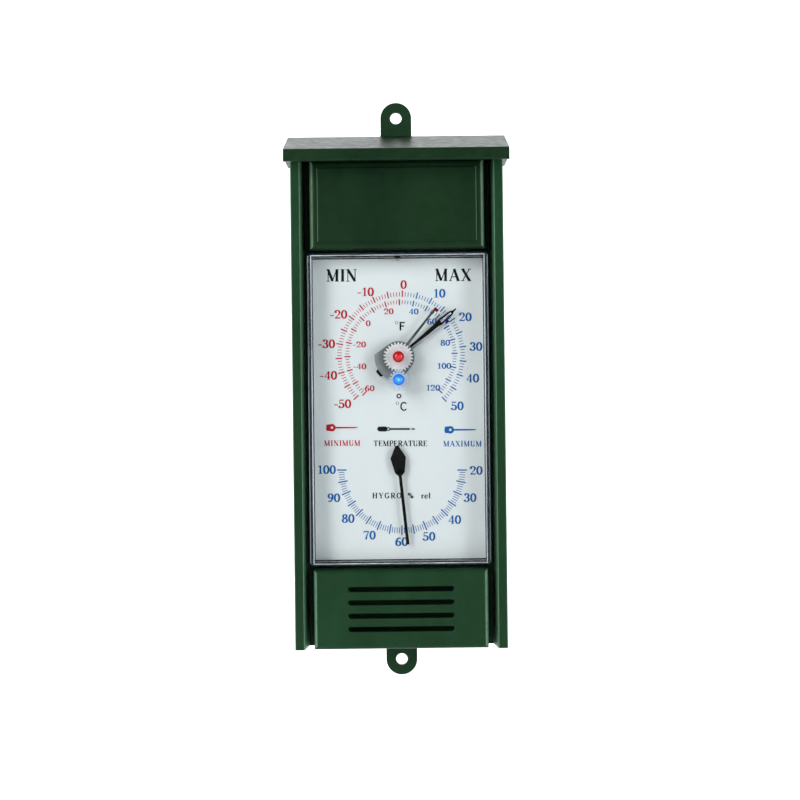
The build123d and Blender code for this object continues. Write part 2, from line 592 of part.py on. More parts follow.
with BuildPart() as temperature_pointer:
    with BuildSketch(facing(POINTER_BACK, 0, TEMPERATURE_Z, TEMPERATURE_ANGLE)):
        pointer_outline(
            (TEMPERATURE_TAIL_HALF, -TEMPERATURE_TAIL),
            (TEMPERATURE_NEEDLE_HALF, NEEDLE_START),
            (LOOP_START_HALF, LOOP_START),
            (LOOP_SHOULDER_HALF, LOOP_SHOULDER),
            (LOOP_TAPER_HALF, LOOP_TAPER),
            (LOOP_END_HALF, LOOP_END),
            (TEMPERATURE_TIP_HALF, POINTER_REACH),
        )
        # slender opening of the loop
        Polygon(
            (LOOP_OPENING_HALF[0], LOOP_OPENING_START),
            (LOOP_OPENING_HALF[1], LOOP_TAPER),
            (-LOOP_OPENING_HALF[1], LOOP_TAPER),
            (-LOOP_OPENING_HALF[0], LOOP_OPENING_START),
            align=None,
            mode=Mode.SUBTRACT,
        )
    extrude(amount=SHEET)

with BuildPart() as humidity_pointer:
    with BuildSketch(facing(POINTER_BACK, 0, HUMIDITY_Z, HUMIDITY_ANGLE)):
        pointer_outline(
            (HUMIDITY_TAIL_HALF, -HUMIDITY_TAIL),
            (HUMIDITY_NEEDLE_HALF[0], NEEDLE_START),
            (HUMIDITY_NEEDLE_HALF[1], HUMIDITY_REACH),
        )
    extrude(amount=SHEET)

# ======================================================================== slave hands
HUB_RADIUS = 6.06
TAIL_RADIUS = 9.1
NEEDLE_ROOT = 0.95  # half width at the pivot, away from the pointer
NEEDLE_ROOT_INSIDE = 0.15  # the same towards the pointer, so that this edge is nearly radial
NEEDLE_TIP = 0.4
LUG_WIDTH = 1.4
LUG_HEIGHT = 1.2


def slave_hand(back, turn, bore_radius, lug_side, lug_back):
    """A hand with a wide tail that balances it, and a lug bent back from its tip towards the pointer."""
    with BuildSketch(facing(back, 0, TEMPERATURE_Z, turn)) as outline:
        Circle(TAIL_RADIUS)
        with Locations((0, -TAIL_RADIUS / 2)):
            Rectangle(2 * HUB_RADIUS, TAIL_RADIUS, mode=Mode.INTERSECT)
        Circle(HUB_RADIUS)
        Polygon(
            (lug_side * NEEDLE_ROOT_INSIDE, 0),
            (lug_side * NEEDLE_TIP, HAND_REACH),
            (-lug_side * NEEDLE_TIP, HAND_REACH),
            (-lug_side * NEEDLE_ROOT, 0),
            align=None,
        )
        with Locations((lug_side * LUG_WIDTH / 2, HAND_REACH - LUG_HEIGHT / 2)):
            Rectangle(LUG_WIDTH, LUG_HEIGHT)
        Circle(bore_radius, mode=Mode.SUBTRACT)
    extrude(outline.sketch, amount=SHEET)
    with BuildSketch(facing(lug_back, 0, TEMPERATURE_Z, turn)) as lug:
        with Locations((lug_side * (LUG_WIDTH - SHEET / 2), HAND_REACH - LUG_HEIGHT / 2)):
            Rectangle(SHEET, LUG_HEIGHT)
    extrude(lug.sketch, amount=back - lug_back)


with BuildPart() as minimum_hand:
    slave_hand(MINIMUM_BACK, MINIMUM_ANGLE, SPINDLE_RADIUS + SEATED, 1, POINTER_FRONT + APART)

with BuildPart() as maximum_hand:
    slave_hand(MAXIMUM_BACK, MAXIMUM_ANGLE, SPIGOT_RADIUS + SEATED, -1, MINIMUM_FRONT + APART)

# ======================================================================== reset gear train
PRESSURE_ANGLE = 20.0
BACKLASH = 0.06
FLANK_POINTS = 5
SPIGOT_BACK = MAXIMUM_BACK - SPIGOT_LENGTH
PINION_BACK = MAXIMUM_FRONT + APART


def involute(angle):
    return tan(angle) - angle


def gear_outline(teeth, phase):
    """An involute gear with one tooth at phase degrees, anticlockwise from the right."""
    pitch_radius = GEAR_MODULE * teeth / 2
    base = pitch_radius * cos(radians(PRESSURE_ANGLE))
    root = pitch_radius - 1.25 * GEAR_MODULE
    tip = pitch_radius + GEAR_MODULE
    base_half = pi / (2 * teeth) - BACKLASH / (2 * pitch_radius) + involute(radians(PRESSURE_ANGLE))
    flank = [(root - GEAR_MODULE / 4, base_half)]
    for i in range(FLANK_POINTS):
        r = max(root, base) + (tip - max(root, base)) * i / (FLANK_POINTS - 1)
        flank.append((r, base_half - involute(acos(base / r))))
    lower = [(r * cos(a), -r * sin(a)) for r, a in flank]
    upper = [(x, -y) for x, y in reversed(lower)]
    Circle(root)
    with PolarLocations(0, teeth, start_angle=phase):
        Polygon(*lower, *upper, align=None)


with BuildPart() as reset_gear:
    with BuildSketch(facing(MAXIMUM_FRONT, 0, TEMPERATURE_Z)):
        gear_outline(GEAR_TEETH, -90)
    extrude(amount=GEAR_THICKNESS)
    disc(SPIGOT_BACK, MAXIMUM_FRONT, SPIGOT_RADIUS, TEMPERATURE_Z)
    disc(SPIGOT_BACK, GEAR_FRONT, SPINDLE_RADIUS + RUNNING, TEMPERATURE_Z, mode=Mode.SUBTRACT)

with BuildPart() as reset_pinion:
    with BuildSketch(facing(PINION_BACK, 0, MAXIMUM_KNOB_Z)):
        gear_outline(PINION_TEETH, 90 + 180 / PINION_TEETH)
    extrude(amount=GEAR_FRONT - PINION_BACK)
    disc(PINION_BACK, GEAR_FRONT, SPINDLE_RADIUS + SEATED, MAXIMUM_KNOB_Z, mode=Mode.SUBTRACT)

# ======================================================================== spindles, knobs and washers
KNOB_RADIUS = 2.1
KNOB_HEIGHT = 3.6
KNOB_ROUND = 1.6
KNOB_BACK = LENS_FRONT + APART
KNOB_BORE = 2.4
KNOB_FLUTES = 14
FLUTE_RADIUS = 0.17
FLUTE_START = 0.5
WASHER_RADIUS = 2.5
SPINDLE_END = KNOB_BACK + KNOB_BORE - LOOSE


def make_knob(name, z):
    """A small fluted push-on knob with a domed front."""
    with BuildPart() as knob:
        disc(KNOB_BACK, KNOB_BACK + KNOB_HEIGHT, KNOB_RADIUS, z)
        fillet(edges_at(knob, KNOB_BACK + KNOB_HEIGHT), KNOB_ROUND)
        with BuildSketch(facing(KNOB_BACK + FLUTE_START, 0, z)):
            with PolarLocations(KNOB_RADIUS, KNOB_FLUTES):
                Circle(FLUTE_RADIUS)
        extrude(amount=KNOB_HEIGHT, mode=Mode.SUBTRACT)
        disc(KNOB_BACK, KNOB_BACK + KNOB_BORE, SPINDLE_RADIUS + SEATED, z, mode=Mode.SUBTRACT)
    knob.part.label = name
    export_step(knob.part, f"parts/{name}.step")


def make_washer(name, z):
    """A spring washer on the front of a gear, which gives the hand its friction."""
    with BuildPart() as washer:
        with BuildSketch(facing(GEAR_FRONT, 0, z)):
            Circle(WASHER_RADIUS)
            Circle(SPINDLE_RADIUS + END_PLAY, mode=Mode.SUBTRACT)
        extrude(amount=WASHER_THICKNESS)
    washer.part.label = name
    export_step(washer.part, f"parts/{name}.step")


with BuildPart() as minimum_spindle:
    disc(MINIMUM_BACK - COLLAR_THICKNESS, SPINDLE_END, SPINDLE_RADIUS, TEMPERATURE_Z)
    disc(MINIMUM_BACK - COLLAR_THICKNESS, MINIMUM_BACK, COLLAR_RADIUS, TEMPERATURE_Z)
    disc(MINIMUM_FRONT, SPIGOT_BACK - APART, COLLAR_RADIUS, TEMPERATURE_Z)

with BuildPart() as maximum_spindle:
    disc(PINION_BACK, SPINDLE_END, SPINDLE_RADIUS, MAXIMUM_KNOB_Z)

# ======================================================================== files
os.makedirs("parts", exist_ok=True)

case_body.part.label = "case_body"
export_step(case_body.part, "parts/case_body.step")
rain_hood.part.label = "rain_hood"
export_step(rain_hood.part, "parts/rain_hood.step")
rear_cover.part.label = "rear_cover"
export_step(rear_cover.part, "parts/rear_cover.step")
cover_screws.part.label = "cover_screws"
export_step(cover_screws.part, "parts/cover_screws.step")
lens.part.label = "lens"
export_step(lens.part, "parts/lens.step")
dial_plate.part.label = "dial_plate"
export_step(dial_plate.part, "parts/dial_plate.step")
dial_peg.part.label = "dial_peg"
export_step(dial_peg.part, "parts/dial_peg.step")
temperature_pointer.part.label = "temperature_pointer"
export_step(temperature_pointer.part, "parts/temperature_pointer.step")
humidity_pointer.part.label = "humidity_pointer"
export_step(humidity_pointer.part, "parts/humidity_pointer.step")
minimum_hand.part.label = "minimum_hand"
export_step(minimum_hand.part, "parts/minimum_hand.step")
maximum_hand.part.label = "maximum_hand"
export_step(maximum_hand.part, "parts/maximum_hand.step")
reset_gear.part.label = "reset_gear"
export_step(reset_gear.part, "parts/reset_gear.step")
reset_pinion.part.label = "reset_pinion"
export_step(reset_pinion.part, "parts/reset_pinion.step")
minimum_spindle.part.label = "minimum_spindle"
export_step(minimum_spindle.part, "parts/minimum_spindle.step")
maximum_spindle.part.label = "maximum_spindle"
export_step(maximum_spindle.part, "parts/maximum_spindle.step")

make_movement("temperature", TEMPERATURE_Z, TEMPERATURE_COIL_TURNS)
make_movement("humidity", HUMIDITY_Z, HUMIDITY_COIL_TURNS)
make_knob("minimum_knob", TEMPERATURE_Z)
make_knob("maximum_knob", MAXIMUM_KNOB_Z)
make_washer("minimum_washer", TEMPERATURE_Z)
make_washer("maximum_washer", MAXIMUM_KNOB_Z)
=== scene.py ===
"""Looks of the wall-mounted maximum-minimum thermometer, in metres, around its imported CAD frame.

The dial's print, the materials, a plain studio and the camera are made here. Every other shape is a CAD node.
"""

import json
from math import copysign, cos, pi, radians, sin, sqrt

import bpy
from mathutils import Matrix, Vector
from mathutils.geometry import delaunay_2d_cdt


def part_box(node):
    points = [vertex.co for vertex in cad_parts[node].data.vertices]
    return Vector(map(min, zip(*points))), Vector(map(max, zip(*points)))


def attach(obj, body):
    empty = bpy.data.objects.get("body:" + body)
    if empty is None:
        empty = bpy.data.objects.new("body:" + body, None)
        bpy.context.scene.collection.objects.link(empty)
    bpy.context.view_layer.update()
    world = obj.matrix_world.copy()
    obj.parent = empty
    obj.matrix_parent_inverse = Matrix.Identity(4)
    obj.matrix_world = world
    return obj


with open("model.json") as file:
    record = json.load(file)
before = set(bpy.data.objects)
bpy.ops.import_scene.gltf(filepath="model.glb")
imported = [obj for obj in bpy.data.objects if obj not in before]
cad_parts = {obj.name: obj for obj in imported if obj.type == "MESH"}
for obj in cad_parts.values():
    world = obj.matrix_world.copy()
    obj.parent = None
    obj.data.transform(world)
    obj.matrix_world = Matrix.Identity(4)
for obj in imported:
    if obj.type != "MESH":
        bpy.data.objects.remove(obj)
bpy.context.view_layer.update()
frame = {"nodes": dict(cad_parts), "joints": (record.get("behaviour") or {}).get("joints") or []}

MM = 0.001
NODES = frame["nodes"]


def centre_of(node):
    low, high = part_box(node)
    return (low + high) / 2


def pivot_of(joint):
    return Vector(next(j["pos_m"] for j in frame["joints"] if j["name"] == joint))


TEMPERATURE_PIVOT = pivot_of("temperature_hand")
DIAL_LOW, DIAL_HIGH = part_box("dial_plate")
LENS_LOW, LENS_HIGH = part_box("lens")
LENS_CENTRE = centre_of("lens")
RAIL_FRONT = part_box("case_body")[0].y
RAIL_SLANT = 2.25 * MM  # from the lens's side to the front edge of a rail's inner wall
RAIL_INSIDE = LENS_HIGH.x + RAIL_SLANT

# ======================================================================== camera
CAMERA_DISTANCE = 0.800  # from the front of the rails
CAMERA_LENS = 95.9
CAMERA_RIGHT = 0.4 * MM
CAMERA_ABOVE_LENS_CENTRE = 3.4 * MM
CAMERA_ROLL = radians(0.65)  # the thermometer leans a little to the left in the view


def make_camera():
    camera = bpy.data.objects.new("camera", bpy.data.cameras.new("camera"))
    bpy.context.scene.collection.objects.link(camera)
    camera.data.lens = CAMERA_LENS
    camera.data.sensor_width = 36.0
    place = Matrix.Translation(
        (CAMERA_RIGHT, RAIL_FRONT - CAMERA_DISTANCE, LENS_CENTRE.z + CAMERA_ABOVE_LENS_CENTRE)
    )
    camera.matrix_world = place @ Matrix.Rotation(CAMERA_ROLL, 4, "Y") @ Matrix.Rotation(pi / 2, 4, "X")
    bpy.context.scene.camera = camera


make_camera()

# ======================================================================== studio
FLOOR_Z = -0.25
BACKDROP_Y = 1.1
BACKDROP_TOP = 1.6
BACKDROP_CURVE = 0.5
STAGE_HALF_WIDTH = 2.2
STAGE_FRONT = -2.2


def link_mesh(name, points, faces, material):
    mesh = bpy.data.meshes.new(name)
    mesh.from_pydata(points, [], faces)
    mesh.validate()
    mesh.materials.append(material)
    piece = bpy.data.objects.new(name, mesh)
    bpy.context.scene.collection.objects.link(piece)
    return piece


def make_backdrop(material):
    """A pale floor that curves up into a wall behind the object."""
    steps = 24
    profile = [(STAGE_FRONT, FLOOR_Z), (BACKDROP_Y - BACKDROP_CURVE, FLOOR_Z)]
    for i in range(1, steps + 1):
        a = pi / 2 * i / steps
        y = BACKDROP_Y - BACKDROP_CURVE + BACKDROP_CURVE * sin(a)
        profile.append((y, FLOOR_Z + BACKDROP_CURVE * (1 - cos(a))))
    profile.append((BACKDROP_Y, BACKDROP_TOP))
    points = [(x, y, z) for y, z in profile for x in (-STAGE_HALF_WIDTH, STAGE_HALF_WIDTH)]
    faces = [(2 * i, 2 * i + 1, 2 * i + 3, 2 * i + 2) for i in range(len(profile) - 1)]
    backdrop = link_mesh("backdrop", points, faces, material)
    for face in backdrop.data.polygons:
        face.use_smooth = True


def make_light(name, place, aim, size, watts, colour=(1, 1, 1)):
    light = bpy.data.objects.new(name, bpy.data.lights.new(name, "AREA"))
    bpy.context.scene.collection.objects.link(light)
    light.data.shape = "RECTANGLE"
    light.data.size, light.data.size_y = size
    light.data.energy = watts
    light.data.color = colour
    light.location = place
    light.rotation_euler = (Vector(aim) - Vector(place)).to_track_quat("-Z", "Y").to_euler()


DARK_ROOM = 0.12  # the reader's side of the room
BRIGHT_ROOM = 0.6


def make_world():
    """A bright room that is darker behind the reader, so that flat fronts stay deep in colour."""
    world = bpy.data.worlds.new("studio")
    world.use_nodes = True
    tree = world.node_tree
    background = tree.nodes["Background"]
    background.inputs["Color"].default_value = (0.95, 0.97, 1.0, 1)
    direction = tree.nodes.new("ShaderNodeSeparateXYZ")
    room = tree.nodes.new("ShaderNodeMapRange")
    room.inputs["From Min"].default_value = -0.98
    room.inputs["From Max"].default_value = -0.70
    room.inputs["To Min"].default_value = DARK_ROOM
    room.inputs["To Max"].default_value = BRIGHT_ROOM
    tree.links.new(tree.nodes.new("ShaderNodeTexCoord").outputs["Generated"], direction.inputs[0])
    tree.links.new(direction.outputs[1], room.inputs["Value"])
    tree.links.new(room.outputs[0], background.inputs["Strength"])
    bpy.context.scene.world = world


# ======================================================================== materials
SOFT_EDGE = 0.15 * MM  # a painted border fades over this


def srgb(red, green, blue):
    """A display colour from 0 to 255 as the linear colour that Blender mixes."""
    return (*(((c / 255 + 0.055) / 1.055) ** 2.4 if c > 10 else c / 3294.6 for c in (red, green, blue)), 1)


class Look:
    """A material with one Principled shader, built one node at a time."""

    def __init__(self, name, roughness, **constants):
        self.material = bpy.data.materials.new(name)
        self.material.use_nodes = True
        self.tree = self.material.node_tree
        self.shader = self.tree.nodes["Principled BSDF"]
        self.output = self.tree.nodes["Material Output"]
        self.set(self.shader, {"Roughness": roughness, **constants})
        self.place = self.node("ShaderNodeTexCoord").outputs["Object"]

    def set(self, node, values):
        for name, value in values.items():
            if isinstance(value, bpy.types.NodeSocket):
                self.tree.links.new(value, node.inputs[name])
            else:
                node.inputs[name].default_value = value

    def node(self, kind, values=None, **settings):
        made = self.tree.nodes.new(kind)
        for name, value in settings.items():
            setattr(made, name, value)
        self.set(made, values or {})
        return made

    def math(self, operation, a, b=0.0, clamp=False):
        made = self.node("ShaderNodeMath", {0: a, 1: b}, operation=operation, use_clamp=clamp)
        return made.outputs[0]

    def noise(self, scale, detail=3.0, roughness=0.55, stretch=(1, 1, 1)):
        """Values from about 0.3 to 0.7, with features of about 1 / scale metres."""
        mapped = self.node("ShaderNodeMapping", {"Vector": self.place, "Scale": stretch})
        values = {"Vector": mapped.outputs[0], "Scale": scale, "Detail": detail, "Roughness": roughness}
        return self.node("ShaderNodeTexNoise", values).outputs["Fac"]

    def span(self, value, low, high, to_low=0.0, to_high=1.0):
        """The value from low to high carried to the span from to_low to to_high, and held at its ends."""
        values = {"Value": value, "From Min": low, "From Max": high, "To Min": to_low, "To Max": to_high}
        return self.node("ShaderNodeMapRange", values, clamp=True).outputs[0]

    def blend(self, factor, a, b):
        made = self.node("ShaderNodeMix", data_type="RGBA")
        for socket, value in ((0, factor), (6, a), (7, b)):
            if isinstance(value, bpy.types.NodeSocket):
                self.tree.links.new(value, made.inputs[socket])
            else:
                made.inputs[socket].default_value = value
        return made.outputs[2]

    def reach(self, point):
        """Distance from a point as the reader sees it, without depth."""
        flat = self.node("ShaderNodeVectorMath", {0: self.place, 1: (1, 0, 1)}, operation="MULTIPLY")
        values = {0: flat.outputs[0], 1: (point.x, 0, point.z)}
        return self.node("ShaderNodeVectorMath", values, operation="DISTANCE").outputs["Value"]

    def axes(self):
        split = self.node("ShaderNodeSeparateXYZ", {0: self.place})
        return split.outputs[0], split.outputs[1], split.outputs[2]

    def depth_inside(self, low, high):
        """How far each point lies inside the sides, and inside the ends, of the box from low to high."""
        x, _, z = self.axes()
        middle = (low + high) / 2
        half = (high - low) / 2
        to_side = self.math("SUBTRACT", half.x, self.math("ABSOLUTE", self.math("SUBTRACT", x, middle.x)))
        to_end = self.math("SUBTRACT", half.z, self.math("ABSOLUTE", self.math("SUBTRACT", z, middle.z)))
        return to_side, to_end

    def sideways(self):
        """1 where the surface looks to a side, and 0 where it looks to the front, the back, up or down."""
        normal = self.node("ShaderNodeNewGeometry").outputs["Normal"]
        return self.math("ABSOLUTE", self.node("ShaderNodeSeparateXYZ", {0: normal}).outputs[0])

    def upright_edges(self):
        """1 on upright rounded edges, where the surface turns from the front to a side, and 0 elsewhere."""
        sideways = self.sideways()
        turning = self.math(
            "MULTIPLY", self.span(sideways, 0.30, 0.45), self.span(sideways, 0.75, 0.92, 1, 0)
        )
        # noise that breaks the painted edge highlight into patches
        highlight_breakup = self.span(self.noise(420, 3), 0.3, 0.6, 0.7, 1.0)
        return self.math("MULTIPLY", turning, highlight_breakup)

    def inner_walls(self, half_width, back):
        """1 on side walls that lie within half_width of the middle and in front of back, and 0 elsewhere."""
        x, y, _ = self.axes()
        within = self.span(self.math("ABSOLUTE", x), half_width, half_width + SOFT_EDGE, 1, 0)
        ahead = self.span(y, back, back + SOFT_EDGE, 1, 0)
        beside = self.span(self.sideways(), 0.8, 0.9)
        return self.math("MULTIPLY", beside, self.math("MULTIPLY", within, ahead))

    def colour(self, value):
        self.set(self.shader, {"Base Color": value})

    def rough(self, value):
        self.set(self.shader, {"Roughness": value})

    def bump(self, height, strength, depth):
        made = self.node("ShaderNodeBump", {"Height": height, "Strength": strength, "Distance": depth})
        self.set(self.shader, {"Normal": made.outputs[0]})


def moulded_green(name, dark, light, roughness):
    """Injection-moulded plastic: a fine grain, faint flow marks, and a dulled gloss.

    Its upright rounded edges carry a painted highlight, and the rails' inner walls are painted lighter as
    painted light.
    """
    look = Look(name, roughness, **{"Specular IOR Level": 0.12})
    flow = look.span(look.noise(38, 4, 0.6, (1, 1, 0.35)), 0.35, 0.65)
    grain = look.noise(5200, 2, 0.5)
    speck = look.span(look.noise(1500, 3, 0.6), 0.62, 0.75, 0, 0.25)
    tone = look.blend(flow, srgb(*dark), srgb(*light))
    tone = look.blend(speck, tone, srgb(*(c + 14 for c in light)))
    # painted highlight: the upright rounded edges are painted much lighter
    tone = look.blend(look.upright_edges(), tone, srgb(*(c + 66 for c in light)))
    # painted light: the rails' inner walls beside the lens are painted lighter, standing in for light that
    # falls into the gap
    walls = look.inner_walls(RAIL_INSIDE, LENS_HIGH.y)
    look.colour(look.blend(walls, tone, srgb(*(c + 46 for c in light))))
    look.rough(look.span(look.noise(300, 4), 0.3, 0.7, roughness - 0.07, roughness + 0.08))
    look.bump(grain, 0.35, 0.03 * MM)
    return look.material


def painted_dial():
    """Semi-matt white plate with faint clouds, its paint lighter near the edges as painted light against the
    shade that the case casts there.
    """
    look = Look("dial_paint", 0.42, **{"Specular IOR Level": 0.4})
    # painted light: the paint grows lighter towards the plate's edges, to offset the case's shade
    to_side, to_end = look.depth_inside(DIAL_LOW, DIAL_HIGH)
    side = look.span(to_side, 0.0, 14 * MM)
    end = look.span(to_end, 0.0, 12 * MM)
    open_part = look.math("MULTIPLY", look.math("POWER", side, 0.6), look.math("POWER", end, 0.6))
    clouds_and_edge_light = look.math("ADD", open_part, look.span(look.noise(60, 4), 0.35, 0.65, -0.05, 0.05), clamp=True)
    paint = look.blend(clouds_and_edge_light, srgb(232, 237, 239), srgb(215, 220, 223))
    fibre = look.span(look.noise(2400, 3, 0.6), 0.55, 0.7, 0, 0.12)
    look.colour(look.blend(fibre, paint, srgb(188, 193, 196)))
    look.rough(look.span(look.noise(900, 3), 0.3, 0.7, 0.36, 0.5))
    look.bump(look.noise(3500, 2), 0.12, 0.02 * MM)
    return look.material


def printing_ink(name, strong, weak):
    """Screen-printed ink, a little thinner here and there."""
    look = Look(name, 0.38, **{"Specular IOR Level": 0.25})
    thin = look.span(look.noise(1800, 3, 0.6), 0.5, 0.8, 0, 0.5)
    look.colour(look.blend(thin, srgb(*strong), srgb(*weak)))
    look.rough(look.span(look.noise(2600, 2), 0.3, 0.7, 0.3, 0.48))
    look.bump(look.noise(7000, 2), 0.15, 0.01 * MM)
    return look.material


GLOW_START = 3.0 * MM  # the painted glow of the knobs' colours on the clear plastic fades from here, from each knob's middle
GLOW_END = 5.2 * MM


def clear_plastic():
    """Polished clear plastic: nearly unseen face on; its walls, seen end on, are painted as a dark grey-blue
    reflection with painted highlight lines at their edges, and a painted glow in the knobs' colours lies round
    the two knobs.
    """
    look = Look("clear_plastic", 0.05, **{"IOR": 1.49})
    inward = look.math("MINIMUM", *look.depth_inside(LENS_LOW, LENS_HIGH))
    highlight_streaks = look.span(look.noise(160, 3, 0.5, (1, 1, 0.2)), 0.3, 0.7, 0.6, 1.0)
    # painted highlight: light lines along the outer and inner edges of the walls, broken by the streaks
    outer_line = look.span(inward, 0.25 * MM, 0.4 * MM, 1, 0)
    inner_line = look.math(
        "MULTIPLY", look.span(inward, 1.15 * MM, 1.3 * MM), look.span(inward, 1.5 * MM, 1.75 * MM, 1, 0)
    )
    bright = look.math("MULTIPLY", look.math("MAXIMUM", outer_line, inner_line), highlight_streaks)
    # painted reflection: the walls seen end on are painted dark grey-blue for the dark gap that they reflect
    wall = look.span(inward, 1.2 * MM, 1.4 * MM, 1, 0)
    body = look.blend(wall, srgb(20, 22, 24), srgb(44, 54, 66))
    body = look.blend(bright, body, srgb(206, 216, 220))
    # painted glow: round each knob the clear plastic is painted in the knob's colour and made more opaque
    red, blue = (
        look.span(look.reach(centre_of(knob)), GLOW_START, GLOW_END, 1, 0)
        for knob in ("minimum_knob", "maximum_knob")
    )
    body = look.blend(look.math("MULTIPLY", red, 0.6), body, srgb(250, 190, 196))
    look.colour(look.blend(look.math("MULTIPLY", blue, 0.6), body, srgb(176, 205, 246)))
    look.rough(look.span(look.noise(700, 3), 0.3, 0.7, 0.03, 0.08))
    glow = look.math("MULTIPLY", look.math("MAXIMUM", red, blue), 0.22)
    walls_seen = look.math("MAXIMUM", look.math("MULTIPLY", wall, 0.42), look.math("MULTIPLY", bright, 0.6))
    seen = look.math("ADD", walls_seen, look.math("MAXIMUM", glow, 0.012))
    fresnel = look.node("ShaderNodeFresnel", {"IOR": 1.35}).outputs[0]
    seen = look.math("ADD", seen, look.math("MULTIPLY", fresnel, 0.8), clamp=True)
    through = look.node("ShaderNodeBsdfTransparent", {"Color": (0.985, 0.995, 0.992, 1)})
    mixed = look.node("ShaderNodeMixShader", {0: seen, 1: through.outputs[0], 2: look.shader.outputs[0]})
    look.tree.links.new(mixed.outputs[0], look.output.inputs["Surface"])
    return look.material


def lacquered_sheet(name, dark, light, roughness):
    """Thin stamped sheet with a sprayed coat."""
    look = Look(name, roughness, **{"Specular IOR Level": 0.12})
    look.colour(look.blend(look.span(look.noise(260, 4), 0.3, 0.7), srgb(*dark), srgb(*light)))
    look.rough(look.span(look.noise(1200, 3), 0.3, 0.7, roughness - 0.08, roughness + 0.1))
    look.bump(look.noise(3200, 3), 0.2, 0.02 * MM)
    return look.material


TIP_START = 21.9 * MM  # the slave hands' coloured lugs begin here, from the pivot


def slave_hand_lacquer(name, tail, needle, tip):
    """Grey coat with a coloured tip, told apart by the distance from the pivot; the grey shifts from the
    tail's to the needle's as painted light and shade along the one sheet.
    """
    look = Look(name, 0.4, **{"Specular IOR Level": 0.2})
    reach = look.reach(TEMPERATURE_PIVOT)
    # painted light and shade: one sheet, its grey changed from tail to needle by distance from the pivot
    grey = look.blend(look.span(reach, 6 * MM, 11 * MM), srgb(*tail), srgb(*needle))
    clouds_and_edge_light = look.span(look.noise(300, 4), 0.3, 0.7, 0, 0.25)
    grey = look.blend(clouds_and_edge_light, grey, srgb(*(c * 0.75 for c in tail)))
    painted = look.span(reach, TIP_START, TIP_START + 0.15 * MM)
    look.colour(look.blend(painted, grey, srgb(*tip)))
    look.rough(look.span(look.noise(1300, 3), 0.3, 0.7, 0.28, 0.45))
    look.bump(look.noise(3200, 3), 0.2, 0.02 * MM)
    return look.material


def bright_metal(name, dark, light, roughness, grain=(1, 1, 1)):
    """Turned, stamped or rolled metal with tool marks along the direction that the grain stretches."""
    look = Look(name, roughness, **{"Metallic": 1.0})
    marks = look.noise(2600, 3, 0.6, grain)
    tarnish = look.span(look.noise(120, 4), 0.35, 0.7)
    look.colour(look.blend(tarnish, srgb(*light), srgb(*dark)))
    look.rough(look.span(marks, 0.3, 0.7, roughness - 0.08, roughness + 0.12))
    look.bump(marks, 0.25, 0.015 * MM)
    return look.material


def natural_plastic():
    """Milky natural plastic of the small gears and washers."""
    look = Look("natural_plastic", 0.3, **{"Specular IOR Level": 0.6, "Subsurface Weight": 0.25})
    look.set(look.shader, {"Subsurface Radius": (0.6 * MM, 0.6 * MM, 0.6 * MM), "Subsurface Scale": 1.0})
    cloud = look.span(look.noise(500, 3), 0.3, 0.7)
    look.colour(look.blend(cloud, srgb(214, 221, 223), srgb(240, 245, 246)))
    look.rough(look.span(look.noise(1600, 3), 0.3, 0.7, 0.22, 0.38))
    look.bump(look.noise(4200, 2), 0.15, 0.02 * MM)
    return look.material


def knob_plastic(name, node, rim, body, highlight_colour):
    """Glossy see-through-coloured plastic with a painted highlight at its middle, darkening towards its rim.
    """
    look = Look(name, 0.2, **{"Specular IOR Level": 0.35, "Coat Weight": 0.2, "Coat Roughness": 0.08})
    radius = (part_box(node)[1].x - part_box(node)[0].x) / 2
    out = look.reach(centre_of(node))
    wander = look.span(look.noise(420, 3), 0.3, 0.7, -0.1, 0.1)
    share = look.math("ADD", look.math("DIVIDE", out, radius), wander)
    shell = look.blend(look.span(share, 0.45, 1.0), srgb(*body), srgb(*rim))
    # painted highlight: the knob's middle is painted in the light highlight colour
    look.colour(look.blend(look.span(share, 0.0, 0.34, 1, 0), shell, srgb(*highlight_colour)))
    look.rough(look.span(look.noise(900, 3), 0.3, 0.7, 0.1, 0.2))
    look.bump(look.noise(2600, 2), 0.08, 0.02 * MM)
    return look.material


def peg_enamel():
    """White peg with a dark painted ring round its end."""
    look = Look("peg_enamel", 0.4, **{"Specular IOR Level": 0.2})
    out = look.reach(centre_of("dial_peg"))
    worn = look.span(look.noise(2400, 3), 0.3, 0.7, -0.05 * MM, 0.05 * MM)
    ring = look.span(look.math("ADD", out, worn), 0.42 * MM, 0.5 * MM)
    look.colour(look.blend(ring, srgb(222, 226, 228), srgb(16, 16, 18)))
    look.rough(look.span(look.noise(1500, 3), 0.3, 0.7, 0.35, 0.5))
    look.bump(look.noise(3000, 2), 0.1, 0.02 * MM)
    return look.material


def studio_paper():
    look = Look("studio_paper", 0.9)
    look.colour(look.blend(look.span(look.noise(2, 2), 0.3, 0.7), srgb(247, 249, 250), srgb(251, 252, 253)))
    look.bump(look.noise(900, 2), 0.05, 0.1 * MM)
    return look.material


CASE_GREEN = moulded_green("case_green", (7, 36, 15), (14, 46, 24), 0.42)
HOOD_GREEN = moulded_green("hood_green", (2, 25, 8), (8, 34, 14), 0.4)
COVER_GREEN = moulded_green("cover_green", (8, 38, 16), (15, 47, 25), 0.5)
DIAL_PAINT = painted_dial()
CLEAR = clear_plastic()
BLACK_SHEET = lacquered_sheet("black_sheet", (4, 4, 5), (11, 11, 12), 0.5)
